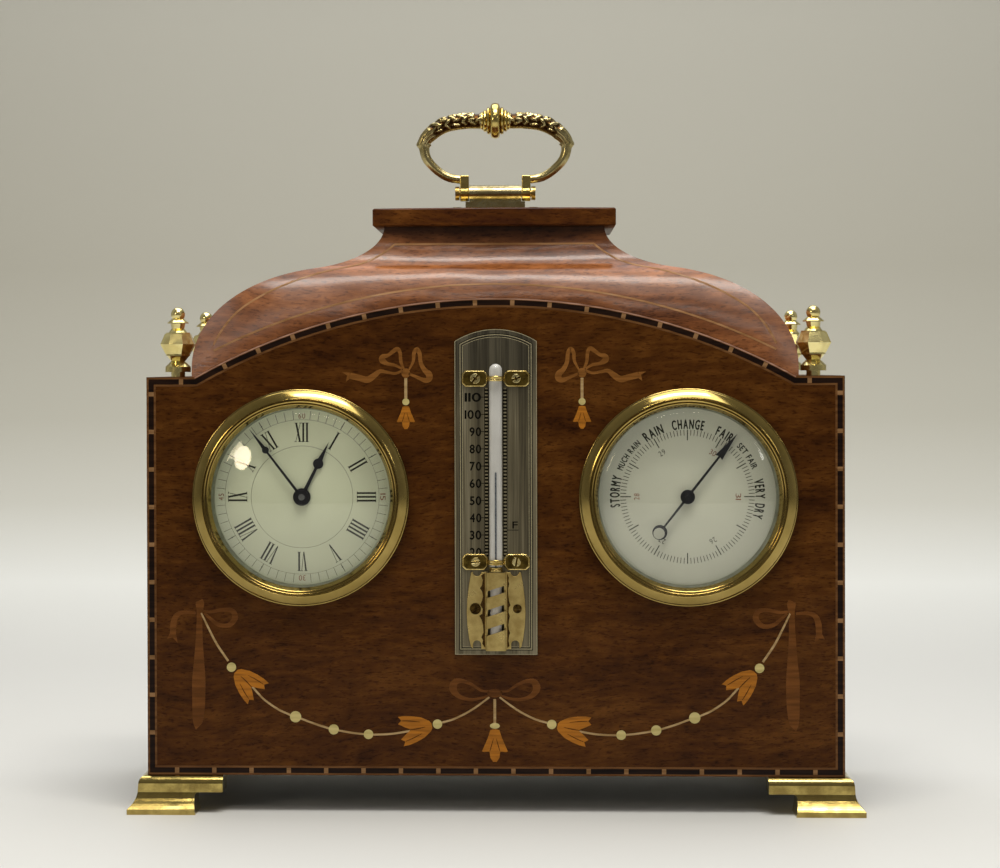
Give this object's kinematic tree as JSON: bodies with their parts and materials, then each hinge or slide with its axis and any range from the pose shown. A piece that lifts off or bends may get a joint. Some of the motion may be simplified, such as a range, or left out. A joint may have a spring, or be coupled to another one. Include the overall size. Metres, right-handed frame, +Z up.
{
  "type": "desk compendium",
  "caption": "Inlaid mahogany desk compendium on brass feet: clock, thermometer and aneroid barometer under a caddy top with a bail handle.",
  "frame": {"origin": "on the table, under the middle of the whole object's box", "axes": "+X right seen from the front, the front faces -Y, +Z up"},
  "size_m": [0.274, 0.121, 0.2705],
  "materials": {
    "mahogany_front": "french-polished figured mahogany with boxwood and satinwood inlay",
    "mahogany_case": "french-polished straight-grained mahogany",
    "mahogany_roof": "french-polished reddish mahogany veneer, glossy",
    "pine_inner": "bare planed softwood",
    "cast_brass": "cast and polished brass, lacquered",
    "turned_brass": "turned and polished brass",
    "bezel_brass": "spun and polished brass",
    "screw_brass": "brass screws, dulled",
    "clip_brass": "worn sheet brass",
    "drum_brass": "rolled brass sheet",
    "movement_brass": "grained movement brass",
    "polished_steel": "polished steel",
    "blued_steel": "blued steel hands, nearly black",
    "nickel_capsule": "corrugated German silver",
    "dial_glass": "clear domed glass",
    "clock_dial_face": "pale enamelled dial with black figures",
    "barometer_dial_face": "white enamelled dial with black figures",
    "silvered_plate": "silvered brass, worn and streaked",
    "tube_glass": "white-backed glass tube",
    "mercury": "mercury"
  },
  "bodies": {
    "case": {"front_panel": "mahogany_front", "back_panel": "mahogany_case", "left_side": "mahogany_case", "right_side": "mahogany_case", "base_board": "pine_inner", "left_shoulder": "mahogany_case", "right_shoulder": "mahogany_case", "glue_blocks": "pine_inner", "roof": "mahogany_roof", "top_board": "mahogany_roof", "front_left_foot": "cast_brass", "front_right_foot": "cast_brass", "rear_left_foot": "cast_brass", "rear_right_foot": "cast_brass", "foot_screws": "screw_brass", "front_left_finial": "turned_brass", "front_right_finial": "turned_brass", "rear_left_finial": "turned_brass", "rear_right_finial": "turned_brass", "handle_base": "cast_brass", "handle_screws": "screw_brass", "clock_bezel": "bezel_brass", "clock_glass": "dial_glass", "clock_sight_ring": "bezel_brass", "clock_dial": "clock_dial_face", "clock_drum": "drum_brass", "clock_cover": "drum_brass", "movement_plates": "movement_brass", "movement_pillars": "movement_brass", "balance_platform": "movement_brass", "barometer_bezel": "bezel_brass", "barometer_glass": "dial_glass", "barometer_sight_ring": "bezel_brass", "barometer_dial": "barometer_dial_face", "barometer_case": "drum_brass", "aneroid_capsule": "nickel_capsule", "capsule_spring": "polished_steel", "hand_bridge": "movement_brass", "thermometer_plate": "silvered_plate", "thermometer_tube": "tube_glass", "mercury": "mercury", "tube_clips": "clip_brass", "bulb_guard": "clip_brass", "thermometer_screws": "screw_brass", "door_hinge": "drum_brass"},
    "handle": {"handle": "cast_brass"},
    "minute_works": {"centre_arbor": "polished_steel", "minute_hand": "blued_steel"},
    "hour_works": {"hour_wheel": "movement_brass", "hour_hand": "blued_steel"},
    "motion_wheel": {"minute_wheel": "movement_brass"},
    "going_barrel": {"mainspring_barrel": "movement_brass", "mainspring": "polished_steel"},
    "third_wheel": {"third_wheel": "movement_brass"},
    "winder": {"winding_arbor": "movement_brass"},
    "balance": {"balance_wheel": "movement_brass"},
    "barometer_hand": {"barometer_hand": "blued_steel"},
    "rocking_lever": {"rocking_lever": "polished_steel"},
    "adjusting_screw": {"adjusting_screw": "screw_brass"},
    "back_door": {"back_door": "drum_brass"}
  },
  "joints": [
    {"name": "handle_swing", "type": "hinge", "parent": "case", "child": "handle", "pos_m": [0, 0.001, 0.2351], "axis": [1, 0, 0], "range_deg": [-90, 90]},
    {"name": "minute_turn", "type": "hinge", "parent": "case", "child": "minute_works", "pos_m": [-0.072, -0.0415, 0.1185], "axis": [0, 1, 0], "continuous": true},
    {"name": "hour_turn", "type": "hinge", "parent": "case", "child": "hour_works", "pos_m": [-0.072, -0.0475, 0.1185], "axis": [0, 1, 0], "continuous": true},
    {"name": "motion_turn", "type": "hinge", "parent": "case", "child": "motion_wheel", "pos_m": [-0.06, -0.0455, 0.1185], "axis": [0, 1, 0], "continuous": true},
    {"name": "barrel_turn", "type": "hinge", "parent": "case", "child": "going_barrel", "pos_m": [-0.08576, -0.0375, 0.10886], "axis": [0, 1, 0], "continuous": true},
    {"name": "third_turn", "type": "hinge", "parent": "case", "child": "third_wheel", "pos_m": [-0.06158, -0.0335, 0.12724], "axis": [0, 1, 0], "continuous": true},
    {"name": "winding_turn", "type": "hinge", "parent": "case", "child": "winder", "pos_m": [-0.08576, -0.0215, 0.10886], "axis": [0, 1, 0], "continuous": true},
    {"name": "balance_swing", "type": "hinge", "parent": "case", "child": "balance", "pos_m": [-0.072, -0.0235, 0.1355], "axis": [0, 1, 0], "range_deg": [-270, 270]},
    {"name": "barometer_turn", "type": "hinge", "parent": "case", "child": "barometer_hand", "pos_m": [0.072, -0.0435, 0.1185], "axis": [0, 1, 0], "range_deg": [-248, 82]},
    {"name": "lever_rock", "type": "hinge", "parent": "case", "child": "rocking_lever", "pos_m": [0.072, -0.0355, 0.109], "axis": [1, 0, 0], "range_deg": [-12.4, 4.1]},
    {"name": "adjusting_turn", "type": "hinge", "parent": "case", "child": "adjusting_screw", "pos_m": [0.072, -0.0215, 0.0985], "axis": [0, 1, 0], "range_deg": [-360, 360]},
    {"name": "back_door_swing", "type": "hinge", "parent": "case", "child": "back_door", "pos_m": [-0.1134, 0.0556, 0.1185], "axis": [0, 0, 1], "range_deg": [0, 110]}
  ],
  "couplings": [
    {"joint": "motion_turn", "follows": "minute_turn", "ratio": -0.33333},
    {"joint": "hour_turn", "follows": "minute_turn", "ratio": 0.083333},
    {"joint": "barrel_turn", "follows": "minute_turn", "ratio": -0.16667},
    {"joint": "third_turn", "follows": "minute_turn", "ratio": -7.5},
    {"joint": "lever_rock", "follows": "barometer_turn", "ratio": 0.05}
  ]
}
